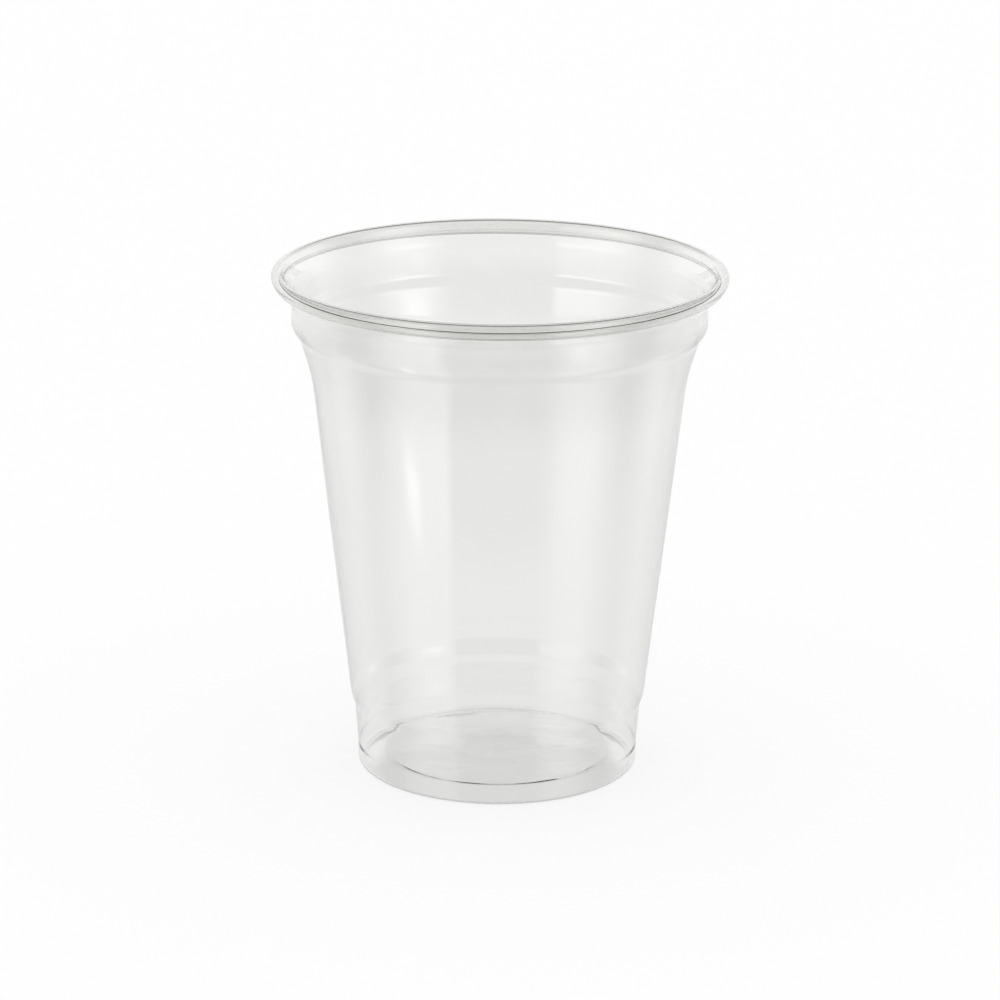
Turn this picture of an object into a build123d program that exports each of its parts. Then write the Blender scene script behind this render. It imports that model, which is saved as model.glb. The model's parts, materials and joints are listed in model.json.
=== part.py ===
from build123d import *
import os
from math import asin, atan2, cos, sin, sqrt, tan

# A clear drinking cup formed from one plastic sheet, with a rolled rim that takes a push-on lid.
# Millimetres, +Z up. The origin is the middle of the foot's underside.

# Overall sizes
cup_height = 107.5
rim_diameter = 95.0
foot_diameter = 59.5

# Sheet thickness, as forming leaves it
floor_sheet = 0.42
heel_sheet = 0.33
wall_sheet = 0.28
rim_sheet = 0.40

# Raised floor, with a flat middle a little above its edge
floor_rise = 2.15
crown_diameter = 18.0
crown_rise = 0.3
crown_bend = 30.0
floor_edge_bend = 2.2

# Slope from the floor's edge down to the foot ring, and the upright heel outside it
foot_width = 1.75
slope_width = 4.0
heel_height = 4.6
foot_bend = 0.6
chime_bend = 0.9
heel_bend = 10.0

# Base band and the small step above it
band_height = 8.6
band_lean = 0.7
step_height = 2.6
step_width = 0.84
step_bend = 8.0

# Flare at the top of the tapered wall, and the shoulder that the next cup stacks on
flare_height = 8.3
flare_width = 2.57
flare_bend = 44.0
shoulder_height = 2.3
shoulder_width = 1.6
shoulder_base_bend = 5.0
shoulder_top_bend = 3.0

# Neck, leaning lip and rolled rim
neck_height = 6.2
rim_overhang = 4.1
lip_height = 5.2
lip_bend = 4.0
curl_radius = 1.25
curl_drop = 1.1
tuck_gap = 0.2
tuck_turn_degrees = 170.0

# The most of a straight run that the bends at its two ends may take up together
bend_run_share = 0.98

# Radii and heights that follow from the sizes above
foot_radius = foot_diameter / 2
rim_radius = rim_diameter / 2
neck_radius = rim_radius - rim_overhang
shoulder_radius = neck_radius - shoulder_width
band_top = heel_height + band_height
lip_base = cup_height - lip_height
shoulder_top = lip_base - neck_height
shoulder_base = shoulder_top - shoulder_height
hollow_radius = curl_radius - rim_sheet
tuck_radius = curl_radius - (rim_sheet + tuck_gap) / 2


# The lip leaves the neck along the line that touches the roll's hollow
def lip_end(lip_start, roll_centre):
    way = roll_centre - lip_start
    lip_angle = atan2(way.Y, way.X) + asin(hollow_radius / way.length)
    lip_length = sqrt(way.length**2 - hollow_radius**2)
    return lip_start + Vector(cos(lip_angle), sin(lip_angle)) * lip_length


# Each run of the outer face moves one sheet thickness to its left, and neighbours meet again where they cross
def inner_face(corners, sheets):
    runs = [(end - start).normalized() for start, end in zip(corners, corners[1:])]
    sides = [Vector(-run.Y, run.X) for run in runs]
    inner = [corners[0] + sides[0] * sheets[0]]
    joints = zip(corners[1:], sides, sides[1:], sheets, sheets[1:])
    for corner, side, next_side, sheet, next_sheet in joints:
        spread = side.X * next_side.Y - side.Y * next_side.X
        across = (sheet * next_side.Y - next_sheet * side.Y) / spread
        along = (next_sheet * side.X - sheet * next_side.X) / spread
        inner.append(corner + Vector(across, along))
    inner.append(corners[-1] + sides[-1] * sheets[-1])
    return inner


# A bend keeps its radius on the tight face and gains the sheet's thickness on the other.
# Where a run is too short for the bends at its ends, they shrink together.
def bend_radii(corners, bends, sheets):
    runs = [end - start for start, end in zip(corners, corners[1:])]
    turns = []
    reaches = [0]
    for run, next_run, bend, sheet in zip(runs, runs[1:], bends, sheets):
        turn = atan2(run.X * next_run.Y - run.Y * next_run.X, run.dot(next_run))
        turns.append(turn)
        reaches.append((bend + sheet) * tan(abs(turn) / 2))
    reaches.append(0)
    room = []
    for run, reach, next_reach in zip(runs, reaches, reaches[1:]):
        room.append(min(1, bend_run_share * run.length / (reach + next_reach)))
    outer, inner = [], []
    for turn, bend, sheet, before, after in zip(turns, bends, sheets, room, room[1:]):
        tight = (bend + sheet) * min(before, after) - sheet
        wide = tight + sheet
        outer.append(wide if turn > 0 else tight)
        inner.append(tight if turn > 0 else wide)
    return outer, inner


# The roll: a half turn over the top, down beside the lip, and in under itself with the edge tucked away
def roll_edge(lip, top_radius, tucked_radius):
    over = JernArc(lip @ 1, lip % 1, top_radius, -180)
    down = Line(over @ 1, over @ 1 + (over % 1) * curl_drop)
    return JernArc(down @ 1, down % 1, tucked_radius, -tuck_turn_degrees)


# Outer face of the sheet, corner by corner from the axis to the roll: place and bend
lip_start = Vector(neck_radius, lip_base)
roll_centre = Vector(rim_radius - curl_radius, cup_height - curl_radius)
corners = [
    Vector(0, floor_rise + crown_rise),
    Vector(crown_diameter / 2, floor_rise + crown_rise),
    Vector(foot_radius - foot_width - slope_width, floor_rise),
    Vector(foot_radius - foot_width, 0),
    Vector(foot_radius, 0),
    Vector(foot_radius, heel_height),
    Vector(foot_radius + band_lean, band_top),
    Vector(foot_radius + band_lean + step_width, band_top + step_height),
    Vector(shoulder_radius - flare_width, shoulder_base - flare_height),
    Vector(shoulder_radius, shoulder_base),
    Vector(neck_radius, shoulder_top),
    lip_start,
    lip_end(lip_start, roll_centre),
]
bends = [
    crown_bend,
    floor_edge_bend,
    foot_bend,
    chime_bend,
    heel_bend,
    step_bend,
    step_bend,
    flare_bend,
    shoulder_base_bend,
    shoulder_top_bend,
    lip_bend,
]
sheets = [floor_sheet] * 2 + [heel_sheet] * 3 + [wall_sheet] * 6 + [rim_sheet]

# The section between the sheet's two faces, turned about the axis
inner_corners = inner_face(corners, sheets)
outer_radii, inner_radii = bend_radii(corners, bends, sheets)
with BuildPart() as cup:
    with BuildSketch(Plane.XZ):
        with BuildLine():
            outside = FilletPolyline(*corners, radius=outer_radii)
            inside = FilletPolyline(*inner_corners, radius=inner_radii)
            hollow_end = roll_edge(outside, hollow_radius, tuck_radius - rim_sheet)
            roll_end = roll_edge(inside, curl_radius, tuck_radius)
            Line(hollow_end @ 1, roll_end @ 1)
            Line(outside @ 0, inside @ 0)
        make_face()
    revolve(axis=Axis.Z)

os.makedirs("parts", exist_ok=True)
export_step(cup.part, "parts/cup.step")
box = cup.part.bounding_box()
print("cup", round(cup.part.volume), "cubic mm,", "size", box.size)
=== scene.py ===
import bmesh
import bpy
import json
from math import asin, atan2, cos, pi, radians, sin, sqrt, tan
from mathutils import Matrix, Vector, noise

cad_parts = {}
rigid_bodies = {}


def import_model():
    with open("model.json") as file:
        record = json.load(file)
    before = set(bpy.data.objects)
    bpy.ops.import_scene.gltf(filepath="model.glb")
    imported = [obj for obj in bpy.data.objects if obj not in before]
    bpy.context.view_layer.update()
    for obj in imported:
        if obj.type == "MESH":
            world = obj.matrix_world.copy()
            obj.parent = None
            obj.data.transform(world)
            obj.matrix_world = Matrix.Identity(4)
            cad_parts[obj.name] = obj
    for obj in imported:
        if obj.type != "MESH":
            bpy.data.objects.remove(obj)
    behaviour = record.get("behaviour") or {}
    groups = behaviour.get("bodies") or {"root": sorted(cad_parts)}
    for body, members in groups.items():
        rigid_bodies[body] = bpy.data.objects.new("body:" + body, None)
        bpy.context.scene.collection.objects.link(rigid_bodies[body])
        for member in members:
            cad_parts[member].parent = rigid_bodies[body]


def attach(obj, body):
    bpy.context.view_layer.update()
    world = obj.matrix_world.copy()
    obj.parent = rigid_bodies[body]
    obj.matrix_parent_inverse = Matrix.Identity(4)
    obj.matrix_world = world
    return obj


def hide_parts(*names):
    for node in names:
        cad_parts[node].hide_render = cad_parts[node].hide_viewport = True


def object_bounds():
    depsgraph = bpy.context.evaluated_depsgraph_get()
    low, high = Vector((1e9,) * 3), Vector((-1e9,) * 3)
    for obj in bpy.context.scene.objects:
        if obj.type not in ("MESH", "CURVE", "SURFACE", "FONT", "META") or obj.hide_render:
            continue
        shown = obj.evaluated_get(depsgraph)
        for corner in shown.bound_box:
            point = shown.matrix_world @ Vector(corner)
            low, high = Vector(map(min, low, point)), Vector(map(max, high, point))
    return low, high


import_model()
cadLow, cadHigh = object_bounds()
scene = bpy.context.scene
scene.view_settings.view_transform = "Standard"
print("frame loaded, cup is", [round(side * 1000, 2) for side in cadHigh - cadLow], "mm")


# shader maths: a wire is one socket, and operators on wires add Math nodes
class Wire:
    def __init__(self, tree, socket=None):
        self.tree = tree
        self.socket = socket

    def node(self, kind, settings, inputs):
        made = self.tree.nodes.new(kind)
        for name, value in settings.items():
            setattr(made, name, value)
        for name, value in inputs.items():
            if isinstance(value, Wire):
                self.tree.links.new(value.socket, made.inputs[name])
            else:
                made.inputs[name].default_value = value
        return made

    def wire(self, kind, output, settings, inputs):
        return Wire(self.tree, self.node(kind, settings, inputs).outputs[output])

    def wires(self, kind, inputs):        # all of a node's outputs, by name
        return {socket.name: Wire(self.tree, socket) for socket in self.node(kind, {}, inputs).outputs}

    def math(self, operation, *values):
        settings = {"operation": operation}
        return self.wire("ShaderNodeMath", 0, settings, dict(enumerate(values)))

    def __add__(self, other):
        return self.math("ADD", self, other)

    def __radd__(self, other):
        return self.math("ADD", other, self)

    def __sub__(self, other):
        return self.math("SUBTRACT", self, other)

    def __rsub__(self, other):
        return self.math("SUBTRACT", other, self)

    def __mul__(self, other):
        return self.math("MULTIPLY", self, other)

    def __rmul__(self, other):
        return self.math("MULTIPLY", other, self)

    def __gt__(self, other):
        return self.math("GREATER_THAN", self, other)

    def rise(self, low, high):        # 0 below low, 1 above high, smooth between
        settings = {"interpolation_type": "SMOOTHSTEP"}
        ends = {"Value": self, "From Min": low, "From Max": high}
        return self.wire("ShaderNodeMapRange", 0, settings, ends)

    def band(self, low, high, edge):        # 1 between low and high, with soft edges
        return self.rise(low - edge, low + edge) * (1 - self.rise(high - edge, high + edge))

    def mix(self, first, second):        # from the first colour to the second
        colours = {0: self, 6: first, 7: second}
        return self.wire("ShaderNodeMix", 2, {"data_type": "RGBA"}, colours)

    def shader(self, first, second):        # and the same for shaders
        return self.wire("ShaderNodeMixShader", 0, {}, {0: self, 1: first, 2: second})


def newMaterial(name):
    material = bpy.data.materials.new(name)
    material.use_nodes = True
    material.node_tree.nodes.clear()
    return material, Wire(material.node_tree)


# the cup: sheet thickness, bends and steps of the section, in metres
cup = {
    "floorSheet": 0.00042, "heelSheet": 0.00033, "wallSheet": 0.00028, "rimSheet": 0.00040,
    "floorRise": 0.00215, "crownRadius": 0.009, "crownRise": 0.0003,
    "crownBend": 0.030, "floorEdgeBend": 0.0022,
    "footRadius": 0.02975, "footWidth": 0.00175, "slopeWidth": 0.004, "heelHeight": 0.0046,
    "footBend": 0.0006, "chimeBend": 0.0009, "heelBend": 0.010,
    "bandHeight": 0.0086, "bandLean": 0.0007,
    "stepHeight": 0.0026, "stepWidth": 0.00084, "stepBend": 0.008,
    "flareHeight": 0.0083, "flareWidth": 0.00257, "flareBend": 0.044,
    "shoulderHeight": 0.0023, "shoulderWidth": 0.0016,
    "shoulderBaseBend": 0.005, "shoulderTopBend": 0.003,
    "neckHeight": 0.0062, "rimOverhang": 0.0041, "lipHeight": 0.0052, "lipBend": 0.004,
    "curlRadius": 0.00125, "curlDrop": 0.0011, "tuckGap": 0.0002, "tuckTurn": radians(170),
    "bendRunShare": 0.98,        # most of a run that its bends may take up
    "turns": 264,        # mesh steps round the axis
    "longestStep": 0.003,        # mesh steps along a straight run
    "floorStep": 0.0007,        # finer steps across the floor
    "bendSteps": 7,
    "rollSteps": 18,
    "axisReach": 1e-7,        # a point nearer the axis than this is on it
    "sharpAngle": radians(50),        # faces that meet at more than this show an edge
    "floorWave": 0.00005,        # unevenness that forming leaves in the sheet
    "floorPatch": 0.0068,
    "floorCalm": 0.003,        # waves fade out this far inside the floor's edge
    "wallWave": 0.000010,
    "streakTurns": 9,        # draw marks up the wall, about this many to a turn
    "streakLength": 0.05,
    "wallStart": (0.018, 0.034),        # waves fade in and out between these heights
    "wallEnd": (0.080, 0.092),
    "faceShift": 5.3,        # the sheet's two faces wave apart
    "fineShare": 0.3,        # smaller waves on the large ones
    "fineScale": 2.2,
}


def lipEnd(start, centre, hollowRadius):        # the lip runs straight to the roll's hollow
    way = centre - start
    angle = atan2(way.y, way.x) + asin(hollowRadius / way.length)
    return start + Vector((cos(angle), sin(angle))) * sqrt(way.length ** 2 - hollowRadius ** 2)


def innerFace(corners, sheets):        # each run moves one sheet thickness to its left
    runs = [(end - start).normalized() for start, end in zip(corners, corners[1:])]
    sides = [Vector((-run.y, run.x)) for run in runs]
    inner = [corners[0] + sides[0] * sheets[0]]
    joints = zip(corners[1:], sides, sides[1:], sheets, sheets[1:])
    for corner, side, nextSide, sheet, nextSheet in joints:        # neighbours meet where they cross
        spread = side.x * nextSide.y - side.y * nextSide.x
        across = (sheet * nextSide.y - nextSheet * side.y) / spread
        along = (nextSheet * side.x - sheet * nextSide.x) / spread
        inner.append(corner + Vector((across, along)))
    return inner + [corners[-1] + sides[-1] * sheets[-1]]


def turnAt(run, nextRun):
    return atan2(run.x * nextRun.y - run.y * nextRun.x, run.dot(nextRun))


def bendRadii(corners, bends, sheets):        # tight on one face, a sheet thickness wider on the other
    runs = [end - start for start, end in zip(corners, corners[1:])]
    turns = [turnAt(run, nextRun) for run, nextRun in zip(runs, runs[1:])]
    reaches = [(bend + sheet) * tan(abs(turn) / 2) for turn, bend, sheet in zip(turns, bends, sheets)]
    reaches = [0] + reaches + [0]
    room = [min(1, cup["bendRunShare"] * run.length / (reach + nextReach))
            for run, reach, nextReach in zip(runs, reaches, reaches[1:])]
    outer, inner = [], []
    for turn, bend, sheet, before, after in zip(turns, bends, sheets, room, room[1:]):
        wide = (bend + sheet) * min(before, after)
        outer.append(wide if turn > 0 else wide - sheet)
        inner.append(wide - sheet if turn > 0 else wide)
    return outer, inner


def straight(points, end):        # steps to end, evenly spaced
    start = points[-1].copy()
    onFloor = end.x < cup["footRadius"] - cup["footWidth"]
    longest = cup["floorStep"] if onFloor else cup["longestStep"]
    steps = max(1, round((end - start).length / longest))
    points += [start.lerp(end, (step + 1) / steps) for step in range(steps)]


def arc(points, heading, radius, turn, steps):        # a turn to the left is positive
    side = Vector((-heading.y, heading.x)) * (1 if turn > 0 else -1)
    centre = points[-1] + side * radius
    spoke = points[-1] - centre
    points += [centre + Matrix.Rotation(turn * (step + 1) / steps, 2) @ spoke for step in range(steps)]
    return Matrix.Rotation(turn, 2) @ heading


def roundedFace(corners, radii):        # straight runs joined by arcs
    points = [corners[0].copy()]
    for before, corner, after, radius in zip(corners, corners[1:], corners[2:], radii):
        heading, nextHeading = (corner - before).normalized(), (after - corner).normalized()
        turn = turnAt(heading, nextHeading)
        straight(points, corner - heading * radius * tan(abs(turn) / 2))
        arc(points, heading, radius, turn, cup["bendSteps"])
    straight(points, corners[-1])
    return points


def rollFace(points, topRadius, tuckRadius):        # over the top, down beside the lip, edge tucked in
    heading = (points[-1] - points[-2]).normalized()
    heading = arc(points, heading, topRadius, -pi, cup["rollSteps"])
    points.append(points[-1] + heading * cup["curlDrop"])
    arc(points, heading, tuckRadius, -cup["tuckTurn"], cup["rollSteps"])


def cupSection(height, rimRadius):
    neckRadius = rimRadius - cup["rimOverhang"]
    shoulderRadius = neckRadius - cup["shoulderWidth"]
    bandTop = cup["heelHeight"] + cup["bandHeight"]
    bandRadius = cup["footRadius"] + cup["bandLean"]
    lipBase = height - cup["lipHeight"]
    shoulderTop = lipBase - cup["neckHeight"]
    shoulderBase = shoulderTop - cup["shoulderHeight"]
    hollowRadius = cup["curlRadius"] - cup["rimSheet"]
    tuckRadius = cup["curlRadius"] - (cup["rimSheet"] + cup["tuckGap"]) / 2
    crownTop = cup["floorRise"] + cup["crownRise"]
    footInner = cup["footRadius"] - cup["footWidth"]
    lipStart = Vector((neckRadius, lipBase))
    rollCentre = Vector((rimRadius - cup["curlRadius"], height - cup["curlRadius"]))
    corners = [
        Vector((0, crownTop)),
        Vector((cup["crownRadius"], crownTop)),
        Vector((footInner - cup["slopeWidth"], cup["floorRise"])),
        Vector((footInner, 0)),
        Vector((cup["footRadius"], 0)),
        Vector((cup["footRadius"], cup["heelHeight"])),
        Vector((bandRadius, bandTop)),
        Vector((bandRadius + cup["stepWidth"], bandTop + cup["stepHeight"])),
        Vector((shoulderRadius - cup["flareWidth"], shoulderBase - cup["flareHeight"])),
        Vector((shoulderRadius, shoulderBase)),
        Vector((neckRadius, shoulderTop)),
        lipStart,
        lipEnd(lipStart, rollCentre, hollowRadius),
    ]
    bendNames = ["crownBend", "floorEdgeBend", "footBend", "chimeBend", "heelBend",
                 "stepBend", "stepBend", "flareBend", "shoulderBaseBend", "shoulderTopBend", "lipBend"]
    sheetNames = ["floorSheet"] * 2 + ["heelSheet"] * 3 + ["wallSheet"] * 6 + ["rimSheet"]
    sheets = [cup[name] for name in sheetNames]
    outerRadii, innerRadii = bendRadii(corners, [cup[name] for name in bendNames], sheets)
    outside = roundedFace(corners, outerRadii)
    inside = roundedFace(innerFace(corners, sheets), innerRadii)
    rollFace(outside, hollowRadius, tuckRadius - cup["rimSheet"])
    rollFace(inside, cup["curlRadius"], tuckRadius)
    return outside, inside


def fade(value, low, high):        # 0 below low, 1 above high, smooth between
    share = min(1, max(0, (value - low) / (high - low)))
    return share * share * (3 - 2 * share)


def waves(spot):        # large waves with smaller ones on them
    return noise.noise(spot) + cup["fineShare"] * noise.noise(spot * cup["fineScale"])


def sheetWave(point, angle, side):        # how far forming pushed this face of the sheet, here
    across = Vector((cos(angle), sin(angle), 0))
    shift = side * cup["faceShift"]
    floorEdge = cup["footRadius"] - cup["footWidth"] - cup["slopeWidth"]
    if point.x < floorEdge:
        spot = across * (point.x / cup["floorPatch"]) + Vector((0, 0, shift))
        calm = fade(point.x, floorEdge - cup["floorCalm"], floorEdge)
        return cup["floorWave"] * waves(spot) * (1 - calm)
    spot = across * (cup["streakTurns"] / 2) + Vector((0, 0, point.y / cup["streakLength"] + shift))
    share = fade(point.y, *cup["wallStart"]) * (1 - fade(point.y, *cup["wallEnd"]))
    return cup["wallWave"] * waves(spot) * share


def lathe(name, section, turnBack):        # a closed mesh; the section begins and ends on the axis
    turns = cup["turns"]
    mesh = bmesh.new()
    rings = []
    for place, point in enumerate(section):
        if point.x < cup["axisReach"]:
            rings.append([mesh.verts.new((0, 0, point.y))] * turns)
            continue
        along = (section[place + 1] - section[place - 1]).normalized()
        ring = []
        for turn in range(turns):
            angle = 2 * pi * turn / turns
            wave = sheetWave(point, angle, 1 if place < turnBack else 2)
            radius, height = point.x + along.y * wave, point.y - along.x * wave
            ring.append(mesh.verts.new((radius * cos(angle), radius * sin(angle), height)))
        rings.append(ring)
    for ring, nextRing in zip(rings, rings[1:]):
        for turn in range(turns):
            after = (turn + 1) % turns
            loop = [ring[turn], ring[after], nextRing[after], nextRing[turn]]
            mesh.faces.new(list(dict.fromkeys(loop)))
    bmesh.ops.recalc_face_normals(mesh, faces=mesh.faces)
    data = bpy.data.meshes.new(name)
    mesh.to_mesh(data)
    mesh.free()
    data.shade_smooth()
    data.set_sharp_from_angle(angle=cup["sharpAngle"])
    piece = bpy.data.objects.new(name, data)
    scene.collection.objects.link(piece)
    return piece


# clear plastic: darker where the sheet is thick, and painted shade round the roll's outside, with
# lengths in metres from the axis or the foot
plastic = {
    "tint": (0.962, 0.962, 0.955, 1),
    "thickTint": (0.893, 0.893, 0.880, 1),        # where the sheet is stretched least
    "thickFloor": (0.003, 0.017),        # fades out from the axis
    "floorShare": 0.9,
    "thickTop": (0.076, 0.092),        # grows up the wall, and is less again in the lip
    "thickLip": (0.097, 0.103),
    "lipShare": 0.35,
    "cloudScale": 140,
    "cloudShare": 0.35,        # clouds in the thickness
    "rollStart": (0.0440, 0.0455),        # the roll has a tint of its own, with painted shade round its outside
    "rollTint": (0.970, 0.970, 0.958, 1),
    # painted shade: a darker tint round the roll's outside, standing in for the dark lines that bent
    # light draws along the rim
    "paintedShadeRadii": (0.0466, 0.0472),
    "paintedShadeTint": (0.915, 0.915, 0.902, 1),
    "rollRoughness": 0.05,
    "roughness": 0.02,
    "refraction": 1.575,
}


def clearPlastic():
    material, shade = newMaterial("clear_plastic")
    place = shade.wire("ShaderNodeTexCoord", "Object", {}, {})
    x, y, z = shade.wires("ShaderNodeSeparateXYZ", {"Vector": place}).values()
    radius = shade.math("SQRT", x * x + y * y)
    floor = plastic["floorShare"] * (1 - radius.rise(*plastic["thickFloor"]))
    top = z.rise(*plastic["thickTop"]) * (1 - (1 - plastic["lipShare"]) * z.rise(*plastic["thickLip"]))
    thick = shade.math("MAXIMUM", floor, top)
    cloud = shade.wire("ShaderNodeTexNoise", 0, {}, {"Vector": place, "Scale": plastic["cloudScale"]})
    thick = thick * (1 + plastic["cloudShare"] * (cloud * 2 - 1))
    roll = radius.rise(*plastic["rollStart"])
    tint = roll.mix(thick.mix(plastic["tint"], plastic["thickTint"]), plastic["rollTint"])
    # painted shade round the roll's outside
    tint = radius.rise(*plastic["paintedShadeRadii"]).mix(tint, plastic["paintedShadeTint"])
    roughness = plastic["roughness"] + roll * (plastic["rollRoughness"] - plastic["roughness"])
    inputs = {"Base Color": tint, "Roughness": roughness,
              "IOR": plastic["refraction"], "Transmission Weight": 1}
    bsdf = shade.wire("ShaderNodeBsdfPrincipled", 0, {}, inputs)
    shade.node("ShaderNodeOutputMaterial", {}, {"Surface": bsdf})
    return material


outside, inside = cupSection(cadHigh.z, cadHigh.x)
cupBody = lathe("cup_body", outside + inside[::-1], len(outside))
cupBody.data.materials.append(clearPlastic())
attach(cupBody, "root")
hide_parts("cup")
sectionPoints = len(outside) + len(inside)
print("cup body:", len(cupBody.data.polygons), "faces from", sectionPoints, "section points")


# the stage: a white floor that keeps a soft shadow, and a white room with two soft boxes in front
# angles are in degrees, round from the front or up from the horizon, with an edge's softness third
stage = {
    "white": (1, 1, 1, 1),
    "floorSize": 8.0,
    "floorDim": 0.7,        # the floor as reflections show it, giving way to the room farther out
    "floorEdge": (0.20, 0.55),
    "shadowShare": 0.15,        # how much of the floor's tone comes from the light that falls on it
    "backLight": 1.0,        # the room as reflections show it: white behind, dim in front and above
    "frontDim": 0.08,
    "backEdge": (85, 125),
    "upperDim": 0.2,
    "upperEdge": (14, 32),
    "bentDim": 0.3,        # the room above the horizon, as bent light shows it
    "bentEdge": (0, 22),
    "boxBright": 0.84,
    "boxTop": 0.8,        # and this much more higher up
    "boxTopEdge": (11, 24),
    "boxHeight": (-65, 33, 8),
    "softEdge": (25, 50),        # a box's inner edge
    "sharpEdge": (30, 37),
    "sharpHeight": (-8, 4, 1.5),        # the right box has it sharp here, and the left box elsewhere
    "rightEnd": (55, 92),        # outer edges
    "leftEnd": (60, 96),
    "spots": [        # small lamps in the right box
        {"bright": 1.6, "around": (57, 67, 3), "height": (-6.5, -5.1, 0.5)},
        {"bright": 0.9, "around": (44, 62, 7), "height": (11, 18, 3)},
        {"bright": 1.3, "around": (38, 50, 3), "height": (-16, -12, 1)},
    ],
}


def boxSide(around, sharp, end):        # 1 across a soft box, with an inner edge from soft to sharp
    edges = zip(stage["softEdge"], stage["sharpEdge"])
    start = [soft + sharp * (crisp - soft) for soft, crisp in edges]
    return around.rise(*start) * (1 - around.rise(*end))


def whiteRoom():
    world = bpy.data.worlds.new("white_room")
    world.use_nodes = True
    world.node_tree.nodes.clear()
    shade = Wire(world.node_tree)
    coords = shade.wire("ShaderNodeTexCoord", "Generated", {}, {})
    x, y, z = shade.wires("ShaderNodeSeparateXYZ", {"Vector": coords}).values()
    around = shade.math("DEGREES", shade.math("ARCTAN2", x, y * -1))
    height = shade.math("DEGREES", shade.math("ARCSINE", z))
    sharp = height.band(*stage["sharpHeight"])
    right = boxSide(around, sharp, stage["rightEnd"])
    left = boxSide(around * -1, 1 - sharp, stage["leftEnd"])
    boxes = (right + left) * height.band(*stage["boxHeight"])
    boxLight = stage["boxBright"] + height.rise(*stage["boxTopEdge"]) * stage["boxTop"]
    for spot in stage["spots"]:
        place = around.band(*spot["around"]) * height.band(*spot["height"])
        boxLight = boxLight + place * spot["bright"]
    upper = 1 + height.rise(*stage["upperEdge"]) * (stage["upperDim"] - 1)
    behind = shade.math("ABSOLUTE", around).rise(*stage["backEdge"])
    room = (stage["frontDim"] + behind * (stage["backLight"] - stage["frontDim"])) * upper
    studio = room + boxes * (boxLight - room)
    path = shade.wires("ShaderNodeLightPath", {})
    direct = shade.math("MAXIMUM", path["Is Camera Ray"], path["Is Diffuse Ray"])
    bent = 1 + height.rise(*stage["bentEdge"]) * (stage["bentDim"] - 1)
    plain = bent + direct * (1 - bent)
    mirrored = path["Glossy Depth"] > 0        # 1 on a ray that was mirrored on its way
    strength = plain + mirrored * (studio - plain)
    inputs = {"Color": stage["white"], "Strength": strength}
    light = shade.wire("ShaderNodeBackground", 0, {}, inputs)
    shade.node("ShaderNodeOutputWorld", {}, {"Surface": light})
    scene.world = world


def whiteFloor():
    half = stage["floorSize"] / 2
    corners = [(-half, -half, 0), (half, -half, 0), (half, half, 0), (-half, half, 0)]
    data = bpy.data.meshes.new("floor")
    data.from_pydata(corners, [], [range(len(corners))])
    floor = bpy.data.objects.new("floor", data)
    scene.collection.objects.link(floor)
    floor.visible_glossy = False
    material, shade = newMaterial("floor_white")
    path = shade.wires("ShaderNodeLightPath", {})
    straightOn = shade.math("MAXIMUM", path["Is Camera Ray"], path["Is Transmission Ray"])
    mirrored = path["Glossy Depth"] > 0
    place = shade.wire("ShaderNodeTexCoord", "Object", {}, {})
    outward = shade.wire("ShaderNodeVectorMath", "Value", {"operation": "LENGTH"}, {0: place})
    white = {"Color": stage["white"]}
    bright = shade.wire("ShaderNodeEmission", 0, {}, {**white, "Strength": 1})
    dim = shade.wire("ShaderNodeEmission", 0, {}, {**white, "Strength": stage["floorDim"]})
    lit = shade.wire("ShaderNodeBsdfDiffuse", 0, {}, white)
    clear = shade.wire("ShaderNodeBsdfTransparent", 0, {}, {})
    face = mirrored.shader(bright, dim)
    face = (straightOn * (1 - stage["shadowShare"])).shader(lit, face)
    face = (mirrored * outward.rise(*stage["floorEdge"])).shader(face, clear)
    shade.node("ShaderNodeOutputMaterial", {}, {"Surface": face})
    data.materials.append(material)


whiteRoom()
whiteFloor()
print("stage set")


# the camera: distances in metres, lens and film in millimetres
camera = {
    "distance": 0.88164,
    "elevation": radians(16.864),
    "lookAt": Vector((0.000285, 0, 0.05745)),
    "roll": radians(0.38722),
    "lens": 150.62,
    "film": 36,
    "clip": (0.01, 50),
}


def placeCamera():
    data = bpy.data.cameras.new("camera")
    data.lens = camera["lens"]
    data.sensor_width = camera["film"]
    data.clip_start, data.clip_end = camera["clip"]
    eye = bpy.data.objects.new("camera", data)
    back = Vector((0, -cos(camera["elevation"]), sin(camera["elevation"])))
    eye.rotation_mode = "QUATERNION"
    eye.location = camera["lookAt"] + back * camera["distance"]
    level = (-back).to_track_quat("-Z", "Y").to_matrix()
    eye.rotation_quaternion = (level @ Matrix.Rotation(camera["roll"], 3, "Z")).to_quaternion()
    scene.collection.objects.link(eye)
    scene.camera = eye


placeCamera()
print("camera placed")

bpy.context.view_layer.update()
